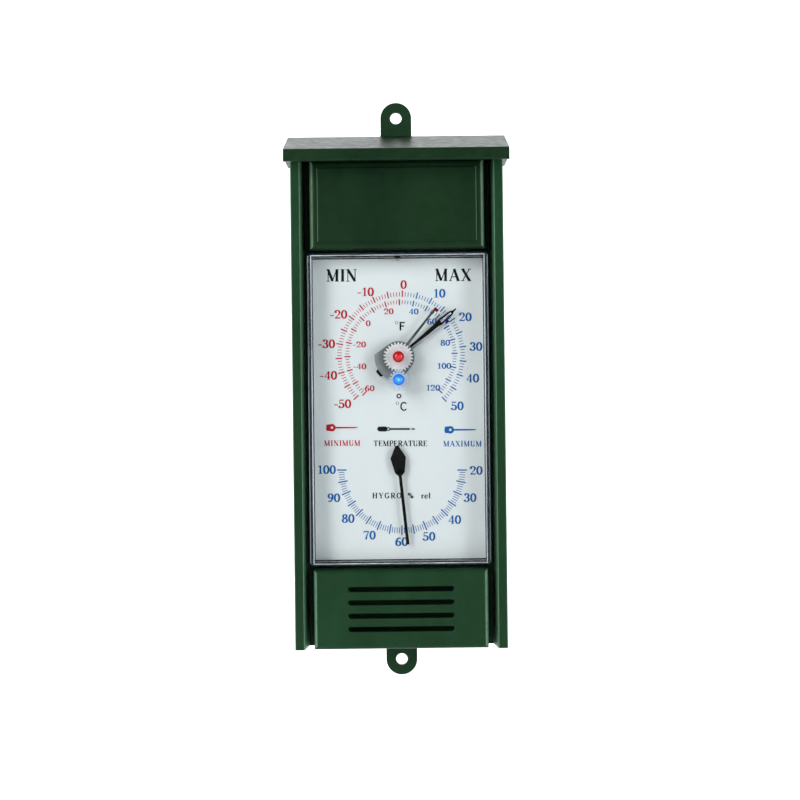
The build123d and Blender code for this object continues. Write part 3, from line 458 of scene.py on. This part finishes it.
# the tail and needle greys differ as painted light and shade on one sheet; the last colour is the painted tip
MINIMUM_LACQUER = slave_hand_lacquer("minimum_lacquer", (104, 109, 111), (60, 66, 62), (112, 6, 16))
MAXIMUM_LACQUER = slave_hand_lacquer("maximum_lacquer", (106, 111, 113), (160, 165, 168), (12, 16, 96))
BRASS = bright_metal("brass", (150, 112, 48), (206, 170, 92), 0.3, (1, 0.2, 1))
STEEL = bright_metal("steel", (150, 152, 154), (205, 207, 209), 0.28, (1, 0.2, 1))
BLACKED_STEEL = bright_metal("blacked_steel", (14, 14, 15), (24, 24, 26), 0.45)
BIMETAL = bright_metal("bimetal", (120, 116, 106), (178, 172, 156), 0.34, (1, 0.15, 1))
NATURAL = natural_plastic()
# the last colour of each knob is its painted highlight
RED_KNOB = knob_plastic("red_knob", "minimum_knob", (112, 0, 4), (160, 0, 6), (226, 60, 56))
BLUE_KNOB = knob_plastic("blue_knob", "maximum_knob", (0, 92, 206), (4, 114, 222), (120, 192, 255))
CRIMSON_INK = printing_ink("crimson_ink", (176, 4, 34), (186, 38, 60))
BLUE_INK = printing_ink("blue_ink", (0, 88, 158), (14, 110, 178))
BLACK_INK = printing_ink("black_ink", (2, 2, 3), (16, 16, 18))
PAPER = studio_paper()
PEG_ENAMEL = peg_enamel()

NODE_LOOKS = {
    "case_body": CASE_GREEN,
    "rain_hood": HOOD_GREEN,
    "rear_cover": COVER_GREEN,
    "cover_screws": STEEL,
    "lens": CLEAR,
    "dial_plate": DIAL_PAINT,
    "dial_peg": PEG_ENAMEL,
    "temperature_pointer": BLACK_SHEET,
    "humidity_pointer": BLACK_SHEET,
    "minimum_hand": MINIMUM_LACQUER,
    "maximum_hand": MAXIMUM_LACQUER,
    "reset_gear": NATURAL,
    "reset_pinion": NATURAL,
    "minimum_spindle": STEEL,
    "maximum_spindle": STEEL,
    "minimum_knob": RED_KNOB,
    "maximum_knob": BLUE_KNOB,
    "minimum_washer": NATURAL,
    "maximum_washer": NATURAL,
}
for instrument in ("temperature", "humidity"):
    NODE_LOOKS[instrument + "_bridge"] = BRASS
    NODE_LOOKS[instrument + "_bridge_screws"] = STEEL
    NODE_LOOKS[instrument + "_regulator"] = BRASS
    NODE_LOOKS[instrument + "_coil"] = BIMETAL
    NODE_LOOKS[instrument + "_arbor"] = BLACKED_STEEL
    NODE_LOOKS[instrument + "_bush"] = BRASS

for name, node in NODES.items():
    node.data.materials.clear()
    node.data.materials.append(NODE_LOOKS[name])

make_backdrop(PAPER)
make_world()
make_light("key", (-0.85, -1.1, 0.45), (0, 0, 0), (0.7, 0.9), 19, (1.0, 0.99, 0.97))
make_light("fill", (0.95, -1.0, 0.1), (0, 0, 0), (0.7, 0.9), 14, (0.96, 0.98, 1.0))
make_light("back_wash", (0, 0.35, 1.1), (0, 1.1, 0.1), (1.6, 0.5), 16)

# ======================================================================== drawing letters
# A letter is drawn with a broad pen in a box of height 1: upright strokes are thick and level ones thin.
DIGIT_PEN = (0.1, 0.19)
CAPITAL_PEN = (0.07, 0.195)
SANS_PEN = (0.16, 0.16)
ARC_STEP = radians(12)


def ribbon(points, widths):
    """The outline of a stroke along points, as wide at each as widths says."""
    left, right = [], []
    for i, (x, z) in enumerate(points):
        x0, z0 = points[max(i - 1, 0)]
        x1, z1 = points[min(i + 1, len(points) - 1)]
        length = sqrt((x1 - x0) ** 2 + (z1 - z0) ** 2)
        across = ((z0 - z1) / length * widths[i] / 2, (x1 - x0) / length * widths[i] / 2)
        left.append((x + across[0], z + across[1]))
        right.append((x - across[0], z - across[1]))
    return right + left[::-1]


def line(x0, z0, x1, z1, width):
    return [ribbon([(x0, z0), (x1, z1)], [width, width])]


def arc(x, z, radius_x, radius_z, start, end, pen):
    """Part of an ellipse, in degrees counter-clockwise from the right, in halves that leave no slit."""
    thin, thick = pen
    outlines = []
    parts = 2 if abs(end - start) > 300 else 1
    for part in range(parts):
        a = radians(start + (end - start) * part / parts)
        b = radians(start + (end - start) * (part + 1) / parts)
        overlap = copysign(radians(3), b - a) if parts == 2 else 0
        count = max(3, int(abs(b - a) / ARC_STEP) + 1)
        points, widths = [], []
        for i in range(count + 1):
            t = a + (b + overlap - a) * i / count
            points.append((x + radius_x * cos(t), z + radius_z * sin(t)))
            run, rise = radius_x * sin(t), radius_z * cos(t)
            widths.append(thin + (thick - thin) * abs(rise) / sqrt(run**2 + rise**2))
        outlines.append(ribbon(points, widths))
    return outlines


def ball(x, z, radius):
    return [[(x + radius * cos(i * pi / 6), z + radius * sin(i * pi / 6)) for i in range(12)]]


def foot(x0, x1, z=0.03, width=0.06):
    """A level serif."""
    return line(x0, z, x1, z, width)


def turned(outlines, width):
    """The same outlines turned half round in a box of that width and height 1."""
    return [[(width - x, 1 - z) for x, z in outline] for outline in outlines]


def six():
    return (
        arc(0.31, 0.29, 0.20, 0.255, 0, 360, DIGIT_PEN)
        + arc(0.47, 0.36, 0.36, 0.605, 182, 96, DIGIT_PEN)
        + ball(0.475, 0.885, 0.08)
    )


def letter_p():
    return (
        line(0.17, 0, 0.17, 1, CAPITAL_PEN[1])
        + line(0.17, 0.97, 0.38, 0.97, CAPITAL_PEN[0])
        + arc(0.37, 0.735, 0.2, 0.235, 92, -92, CAPITAL_PEN)
        + line(0.17, 0.5, 0.38, 0.5, CAPITAL_PEN[0])
        + foot(0.03, 0.34)
        + foot(0.03, 0.2, 0.97)
    )


THIN, THICK = CAPITAL_PEN
# each letter's advance, and its strokes
LETTERS = {
    "0": (0.62, arc(0.31, 0.5, 0.215, 0.46, 0, 360, DIGIT_PEN)),
    "1": (0.56, line(0.3, 0, 0.3, 1, 0.165) + line(0.1, 0.8, 0.28, 0.96, 0.08) + foot(0.1, 0.5)),
    "2": (
        0.62,
        ball(0.15, 0.74, 0.09)
        + arc(0.29, 0.72, 0.205, 0.245, 190, -20, DIGIT_PEN)
        + [ribbon([(0.49, 0.66), (0.40, 0.46), (0.22, 0.25), (0.08, 0.05)], [0.15, 0.11, 0.08, 0.08])]
        + line(0.06, 0.075, 0.53, 0.075, 0.15)
        + line(0.52, 0.03, 0.565, 0.25, 0.06),
    ),
    "3": (
        0.60,
        ball(0.14, 0.8, 0.085)
        + arc(0.27, 0.745, 0.185, 0.22, 165, -82, DIGIT_PEN)
        + arc(0.26, 0.275, 0.225, 0.24, 82, -165, DIGIT_PEN)
        + ball(0.11, 0.2, 0.085)
        + line(0.19, 0.515, 0.31, 0.515, 0.07),
    ),
    "4": (
        0.63,
        line(0.44, 0.98, 0.06, 0.3, 0.075)
        + line(0.04, 0.29, 0.59, 0.29, 0.08)
        + line(0.42, 0, 0.42, 0.98, 0.155)
        + foot(0.27, 0.57),
    ),
    "5": (
        0.61,
        line(0.13, 0.925, 0.5, 0.925, 0.14)
        + line(0.145, 0.98, 0.12, 0.48, 0.065)
        + arc(0.27, 0.31, 0.23, 0.275, 130, -165, DIGIT_PEN)
        + ball(0.115, 0.2, 0.085),
    ),
    "6": (0.62, six()),
    "7": (
        0.60,
        line(0.07, 0.92, 0.56, 0.92, 0.15)
        + [ribbon([(0.53, 0.9), (0.38, 0.55), (0.27, 0.0)], [0.08, 0.12, 0.17])]
        + line(0.085, 0.97, 0.065, 0.72, 0.06),
    ),
    "8": (
        0.62,
        arc(0.31, 0.755, 0.165, 0.205, 0, 360, DIGIT_PEN) + arc(0.31, 0.27, 0.205, 0.235, 0, 360, DIGIT_PEN),
    ),
    "9": (0.62, turned(six(), 0.62)),
    "-": (0.44, line(0.04, 0.37, 0.38, 0.37, 0.12)),
    "M": (
        0.98,
        line(0.15, 0, 0.15, 1, THIN)
        + line(0.14, 0.99, 0.47, 0.04, THICK)
        + line(0.46, 0.02, 0.78, 0.99, THIN)
        + line(0.79, 0, 0.79, 1, THICK)
        + foot(0.04, 0.27)
        + foot(0.64, 0.93)
        + foot(0.03, 0.2, 0.97)
        + foot(0.75, 0.93, 0.97),
    ),
    "I": (0.40, line(0.2, 0, 0.2, 1, THICK) + foot(0.06, 0.34) + foot(0.06, 0.34, 0.97)),
    "N": (
        0.84,
        line(0.15, 0, 0.15, 1, THIN)
        + line(0.14, 0.99, 0.67, 0.03, THICK)
        + line(0.68, 0, 0.68, 1, THIN)
        + foot(0.04, 0.27)
        + foot(0.03, 0.2, 0.97)
        + foot(0.56, 0.8, 0.97),
    ),
    "A": (
        0.80,
        line(0.09, 0.02, 0.39, 0.98, THIN)
        + line(0.37, 0.99, 0.68, 0.02, THICK)
        + line(0.19, 0.34, 0.57, 0.34, THIN)
        + foot(0.0, 0.21)
        + foot(0.54, 0.81),
    ),
    "X": (
        0.78,
        line(0.13, 0.98, 0.65, 0.02, THICK)
        + line(0.63, 0.98, 0.13, 0.02, THIN)
        + foot(0.02, 0.26)
        + foot(0.52, 0.77)
        + foot(0.02, 0.28, 0.97)
        + foot(0.53, 0.74, 0.97),
    ),
    "U": (
        0.80,
        line(0.18, 0.3, 0.18, 1, THICK)
        + arc(0.4, 0.31, 0.22, 0.28, 178, 362, CAPITAL_PEN)
        + line(0.62, 0.28, 0.62, 1, THIN)
        + foot(0.04, 0.33, 0.97)
        + foot(0.51, 0.75, 0.97),
    ),
    "T": (
        0.72,
        line(0.36, 0, 0.36, 1, THICK)
        + line(0.06, 0.97, 0.66, 0.97, THIN)
        + line(0.08, 0.99, 0.05, 0.74, THIN)
        + line(0.64, 0.99, 0.67, 0.74, THIN)
        + foot(0.22, 0.5),
    ),
    "E": (
        0.68,
        line(0.18, 0, 0.18, 1, THICK)
        + foot(0.04, 0.58, 0.97)
        + foot(0.18, 0.44, 0.52)
        + foot(0.04, 0.61)
        + line(0.56, 0.99, 0.585, 0.75, THIN)
        + line(0.44, 0.41, 0.44, 0.63, THIN)
        + line(0.59, 0.01, 0.63, 0.27, THIN),
    ),
    "P": (0.64, letter_p()),
    "R": (0.75, letter_p() + line(0.36, 0.5, 0.63, 0.03, THICK) + foot(0.58, 0.75)),
    "H": (
        0.83,
        line(0.18, 0, 0.18, 1, THICK)
        + line(0.65, 0, 0.65, 1, THICK)
        + line(0.18, 0.52, 0.65, 0.52, THIN)
        + foot(0.04, 0.32)
        + foot(0.51, 0.79)
        + foot(0.04, 0.32, 0.97)
        + foot(0.51, 0.79, 0.97),
    ),
    "Y": (
        0.76,
        line(0.12, 0.98, 0.4, 0.42, THICK)
        + line(0.64, 0.98, 0.39, 0.42, THIN)
        + line(0.39, 0, 0.39, 0.48, THICK)
        + foot(0.25, 0.53)
        + foot(0.02, 0.27, 0.97)
        + foot(0.54, 0.75, 0.97),
    ),
    "G": (
        0.80,
        arc(0.41, 0.5, 0.3, 0.465, 48, 325, CAPITAL_PEN)
        + line(0.64, 0.08, 0.64, 0.42, THICK)
        + foot(0.48, 0.76, 0.42)
        + line(0.63, 0.99, 0.635, 0.68, THIN),
    ),
    "O": (0.80, arc(0.4, 0.5, 0.3, 0.465, 0, 360, CAPITAL_PEN)),
    "r": (
        0.46,
        line(0.17, 0, 0.17, 0.64, THICK)
        + arc(0.36, 0.4, 0.19, 0.21, 178, 72, CAPITAL_PEN)
        + ball(0.41, 0.57, 0.07)
        + foot(0.04, 0.32)
        + foot(0.04, 0.18, 0.62),
    ),
    "e": (0.52, arc(0.27, 0.32, 0.2, 0.3, 8, 325, CAPITAL_PEN) + line(0.08, 0.34, 0.47, 0.34, THIN)),
    "l": (0.34, line(0.17, 0, 0.17, 1, THICK) + foot(0.04, 0.31) + foot(0.04, 0.18, 0.97)),
    "%": (
        0.86,
        arc(0.22, 0.74, 0.13, 0.22, 0, 360, CAPITAL_PEN)
        + arc(0.66, 0.26, 0.13, 0.22, 0, 360, CAPITAL_PEN)
        + line(0.7, 1, 0.18, 0, THIN),
    ),
    "F": (
        0.6,
        line(0.12, 0, 0.12, 1, 0.18) + line(0.1, 0.93, 0.6, 0.93, 0.15) + line(0.12, 0.52, 0.52, 0.52, 0.15),
    ),
    "C": (0.74, arc(0.4, 0.5, 0.32, 0.455, 42, 318, SANS_PEN)),
}


def joined(outlines):
    """One flat mesh of overlapping outlines: its points, its triangles, and the edges of its rim."""
    points, faces = [], []
    for outline in outlines:
        faces.append(list(range(len(points), len(points) + len(outline))))
        points += [Vector(p) for p in outline]
    points, _, found, _, _, inside = delaunay_2d_cdt(points, [], faces, 1, 1e-6)
    triangles = [list(face) for face, owners in zip(found, inside) if owners]
    edges = [(t[i], t[(i + 1) % 3]) for t in triangles for i in range(3)]
    rim = set(edges) - {(b, a) for a, b in edges}
    return [tuple(p) for p in points], triangles, sorted(rim)


FLAT_LETTERS = {letter: joined(strokes) for letter, (_, strokes) in LETTERS.items()}

# ======================================================================== the dial's print
# The print sits a little off the pivots and a little crooked. Its own frame is in millimetres from the centre
# of the temperature scales, and angles are read clockwise from straight up.
PRINT_RIGHT = 0.98
PRINT_UP = 0.91
PRINT_TURN = radians(0.65)  # clockwise
PRINT_SIZE = 1.018
DIGIT_STRETCH = 1.22
SMALL_DIGIT_STRETCH = 1.38
PRINT_LIFT = 0.008 * MM  # of the ink's back from the dial
INK_THICKNESS = 0.03 * MM
HUMIDITY_CENTRE = (0.34, -43.2)


class Print:
    """One printed piece: flat shapes given in the print's frame, each raised into a closed solid."""

    def __init__(self, name, ink, slot):
        self.name, self.ink, self.slot = name, ink, slot
        self.points, self.faces = [], []

    def flat(self, shape, x=0.0, z=0.0, scale=1.0, stretch=1.0):
        points, triangles, rim = shape
        start, count = len(self.points), len(points)
        for front in (1, 0):
            for px, pz in points:
                u = ((x + px * scale * stretch) * PRINT_SIZE + PRINT_RIGHT) * MM
                v = ((z + pz * scale) * PRINT_SIZE + PRINT_UP) * MM
                self.points.append(
                    (
                        TEMPERATURE_PIVOT.x + u * cos(PRINT_TURN) + v * sin(PRINT_TURN),
                        DIAL_LOW.y - PRINT_LIFT - front * INK_THICKNESS,
                        TEMPERATURE_PIVOT.z - u * sin(PRINT_TURN) + v * cos(PRINT_TURN),
                    )
                )
        self.faces += [[start + i for i in t] for t in triangles]
        self.faces += [[start + count + i for i in reversed(t)] for t in triangles]
        self.faces += [[start + b, start + a, start + count + a, start + count + b] for a, b in rim]

    def text(self, string, x, z, height, width=None, stretch=1.1):
        """A string centred on a point, spread to a width if one is given, its letters widened by stretch."""
        advances = [LETTERS[c][0] * height * stretch for c in string]
        gap = (width - sum(advances)) / (len(string) - 1) if width else 0.0
        pen = x - (sum(advances) + gap * (len(string) - 1)) / 2
        for letter, advance in zip(string, advances):
            self.flat(FLAT_LETTERS[letter], pen, z - height / 2, height, stretch)
            pen += advance + gap

    def tick(self, centre, angle, major, reaches, widen=1.0):
        """A radial line. The reaches are those of a minor and of a major tick, each from inside to outside."""
        a = radians(angle)
        inner, outer = reaches[major]
        x0, z0 = centre[0] + inner * widen * sin(a), centre[1] + inner * cos(a)
        x1, z1 = centre[0] + outer * widen * sin(a), centre[1] + outer * cos(a)
        self.flat(joined(line(x0, z0, x1, z1, TICK_WIDTHS[major])))

    def done(self):
        piece = link_mesh(self.name, self.points, self.faces, self.ink)
        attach(piece, "case")


SCALE_TURN = 1.2  # the temperature scales are a little more crooked than the words
SCALE_WIDEN = 1.015  # the temperature scales are a little wider than high
TICK_WIDTHS = (0.26, 0.48)  # of minor and major ticks
CELSIUS_TICKS = ((22.0, 23.6), (21.8, 24.3))
FAHRENHEIT_TICKS = ((19.2, 20.6), (18.7, 20.95))
HUMIDITY_TICKS = ((21.6, 23.8), (20.8, 24.4))
TEMPERATURE_CENTRE = (0, 0)
CELSIUS_STEP = 2.7  # degrees of turn for each degree Celsius
FAHRENHEIT_STEP = CELSIUS_STEP / 1.8
HUMIDITY_STEP = 2.25
NUMBER_HEIGHT = 3.2
SMALL_NUMBER_HEIGHT = 2.15
SLOT_INK = "dial_white"
# numbers that stand further round, or nearer or further out, than the others of their scale
FAHRENHEIT_NUMBER_TURNS = {40: 4.0, 60: 0.2, 120: 4.0}
FAHRENHEIT_NUMBER_REACHES = {-60: 17.5, -40: 15.9, -20: 15.9, 100: 16.5, 120: 17.1}
HUMIDITY_NUMBER_TURNS = {30: -0.5, 40: -1.8, 70: 4.0, 80: 3.0}


def celsius_number_place(angle):
    """The centre of a number: outside its tick, wider apart at the sides than above."""
    a = radians(angle + SCALE_TURN)
    spread = 3.7 if abs(angle) > 120 else 2.35 if abs(angle) > 70 else 3.0
    x = 25.7 * SCALE_WIDEN * sin(a) + spread * copysign(sqrt(abs(sin(a))), sin(a))
    return x, 26.45 * cos(a) - 3.0 * sin(a) ** 4 * max(cos(a), 0.0)


def print_celsius(name, ink, degrees):
    scale = Print(name + "_scale", ink, SLOT_INK)
    numbers = Print(name + "_numbers", ink, SLOT_INK)
    for t in degrees:
        angle = t * CELSIUS_STEP
        scale.tick(TEMPERATURE_CENTRE, angle + SCALE_TURN, t % 5 == 0, CELSIUS_TICKS, SCALE_WIDEN)
        if t % 10 == 0:
            numbers.text(str(t), *celsius_number_place(angle), NUMBER_HEIGHT, stretch=DIGIT_STRETCH)
    scale.done()
    numbers.done()


def print_fahrenheit(name, ink, degrees):
    scale = Print(name + "_scale", ink, SLOT_INK)
    numbers = Print(name + "_numbers", ink, SLOT_INK)
    for t in degrees:
        angle = (t - 32) * FAHRENHEIT_STEP
        scale.tick(TEMPERATURE_CENTRE, angle + SCALE_TURN, t % 10 == 0, FAHRENHEIT_TICKS, SCALE_WIDEN)
        if t % 20 == 0:
            a = radians(angle + FAHRENHEIT_NUMBER_TURNS.get(t, 2.4))
            reach = FAHRENHEIT_NUMBER_REACHES.get(t, 17.0)
            place = (reach * SCALE_WIDEN * sin(a), reach * cos(a))
            numbers.text(str(t), *place, SMALL_NUMBER_HEIGHT, stretch=SMALL_DIGIT_STRETCH)
    scale.done()
    numbers.done()


def print_humidity():
    scale = Print("humidity_scale", BLUE_INK, SLOT_INK)
    numbers = Print("humidity_numbers", BLUE_INK, SLOT_INK)
    for percent in range(20, 101):
        angle = 90 + (percent - 20) * HUMIDITY_STEP
        scale.tick(HUMIDITY_CENTRE, angle, percent % 5 == 0, HUMIDITY_TICKS)
        if percent % 10 == 0:
            a = radians(angle + HUMIDITY_NUMBER_TURNS.get(percent, 0.3))
            reach = (27.3 if percent in (70, 100) else 26.9) + sin(a) ** 4
            place = (HUMIDITY_CENTRE[0] + reach * sin(a), HUMIDITY_CENTRE[1] + reach * cos(a))
            numbers.text(str(percent), *place, NUMBER_HEIGHT, stretch=DIGIT_STRETCH)
    scale.done()
    numbers.done()


print_celsius("celsius_cold", CRIMSON_INK, range(-50, 1))
print_celsius("celsius_warm", BLUE_INK, range(1, 51))
print_fahrenheit("fahrenheit_cold", CRIMSON_INK, range(-60, 33, 2))
print_fahrenheit("fahrenheit_warm", BLUE_INK, range(34, 121, 2))
print_humidity()


def print_words(name, ink, words):
    """A printed piece of several words: each has its string, centre, height and width."""
    piece = Print(name, ink, SLOT_INK)
    for string, x, z, height, width in words:
        piece.text(string, x, z, height, width)
    piece.done()


print_words("hand_titles", BLACK_INK, [("MIN", -22.3, 29.9, 4.65, 11.7), ("MAX", 19.55, 30.1, 4.65, 13.75)])
print_words("minimum_caption", CRIMSON_INK, [("MINIMUM", -22.1, -33.1, 2.15, 13.65)])
print_words("temperature_caption", BLACK_INK, [("TEMPERATURE", -0.2, -33.2, 2.15, 20.2)])
print_words("maximum_caption", BLUE_INK, [("MAXIMUM", 23.1, -33.3, 2.15, 14.5)])
print_words(
    "humidity_caption",
    BLACK_INK,
    [("HYGRO", -5.3, -52.8, 2.15, 11.0), ("%", 3.6, -52.8, 2.15, None), ("rel", 9.3, -52.8, 2.15, 3.6)],
)


def print_units():
    """The degree signs with F and C."""
    piece = Print("unit_signs", BLACK_INK, SLOT_INK)
    for letter, x, z, ring_x, ring_z in (("F", 0.4, 10.8, -1.7, 12.1), ("C", 1.0, -19.3, -1.4, -18.1)):
        piece.flat(joined(arc(ring_x, ring_z, 0.5, 0.5, 0, 360, (0.17, 0.17))))
        piece.text(letter, x, z, NUMBER_HEIGHT)
    piece.done()


def print_slave_icon(name, ink, x, z):
    """A picture of a slave hand: a keyhole-shaped head with a hole, and a needle with a slanted tip."""
    piece = Print(name, ink, SLOT_INK)
    head = arc(0, 0, 0.95, 0.95, 0, 360, (0.95, 0.95))
    block = [[(-0.9, -1.3), (-0.55, -1.1), (-0.5, 1.1), (-0.9, 1.3), (-2.1, 1.1), (-2.2, 0), (-2.1, -1.1)]]
    needle = [[(1.2, -0.33), (8.4, -0.24), (9.7, 0.0), (9.7, 0.28), (1.2, 0.33)]]
    piece.flat(joined(head + block + needle), x, z)
    piece.done()


def print_pointer_icon(x, z):
    """A picture of the black pointer: a long tail with a hole, and a needle with a slot near its tip."""
    piece = Print("pointer_icon", BLACK_INK, SLOT_INK)
    tail = [[(-4.3, 0), (-3.7, -0.9), (-1.0, -0.95), (-0.35, -0.5), (-0.35, 0.5), (-1.0, 0.95), (-3.7, 0.9)]]
    ring = arc(0, 0, 0.55, 0.55, 0, 360, (0.4, 0.4))
    stem = line(0.5, 0, 8.0, 0, 0.7)
    slot_sides = line(7.9, 0.05, 9.2, 0.35, 0.14) + line(7.9, -0.05, 9.2, -0.35, 0.14)
    tip = [[(9.0, -0.42), (10.1, -0.1), (10.1, 0.1), (9.0, 0.42)]]
    piece.flat(joined(tail + ring + stem + slot_sides + tip), x, z)
    piece.done()


print_units()
print_slave_icon("minimum_icon", CRIMSON_INK, -25.95, -27.3)
print_slave_icon("maximum_icon", BLUE_INK, 18.5, -28.1)
print_pointer_icon(-4.75, -27.8)

bpy.context.scene.view_settings.view_transform = "Standard"
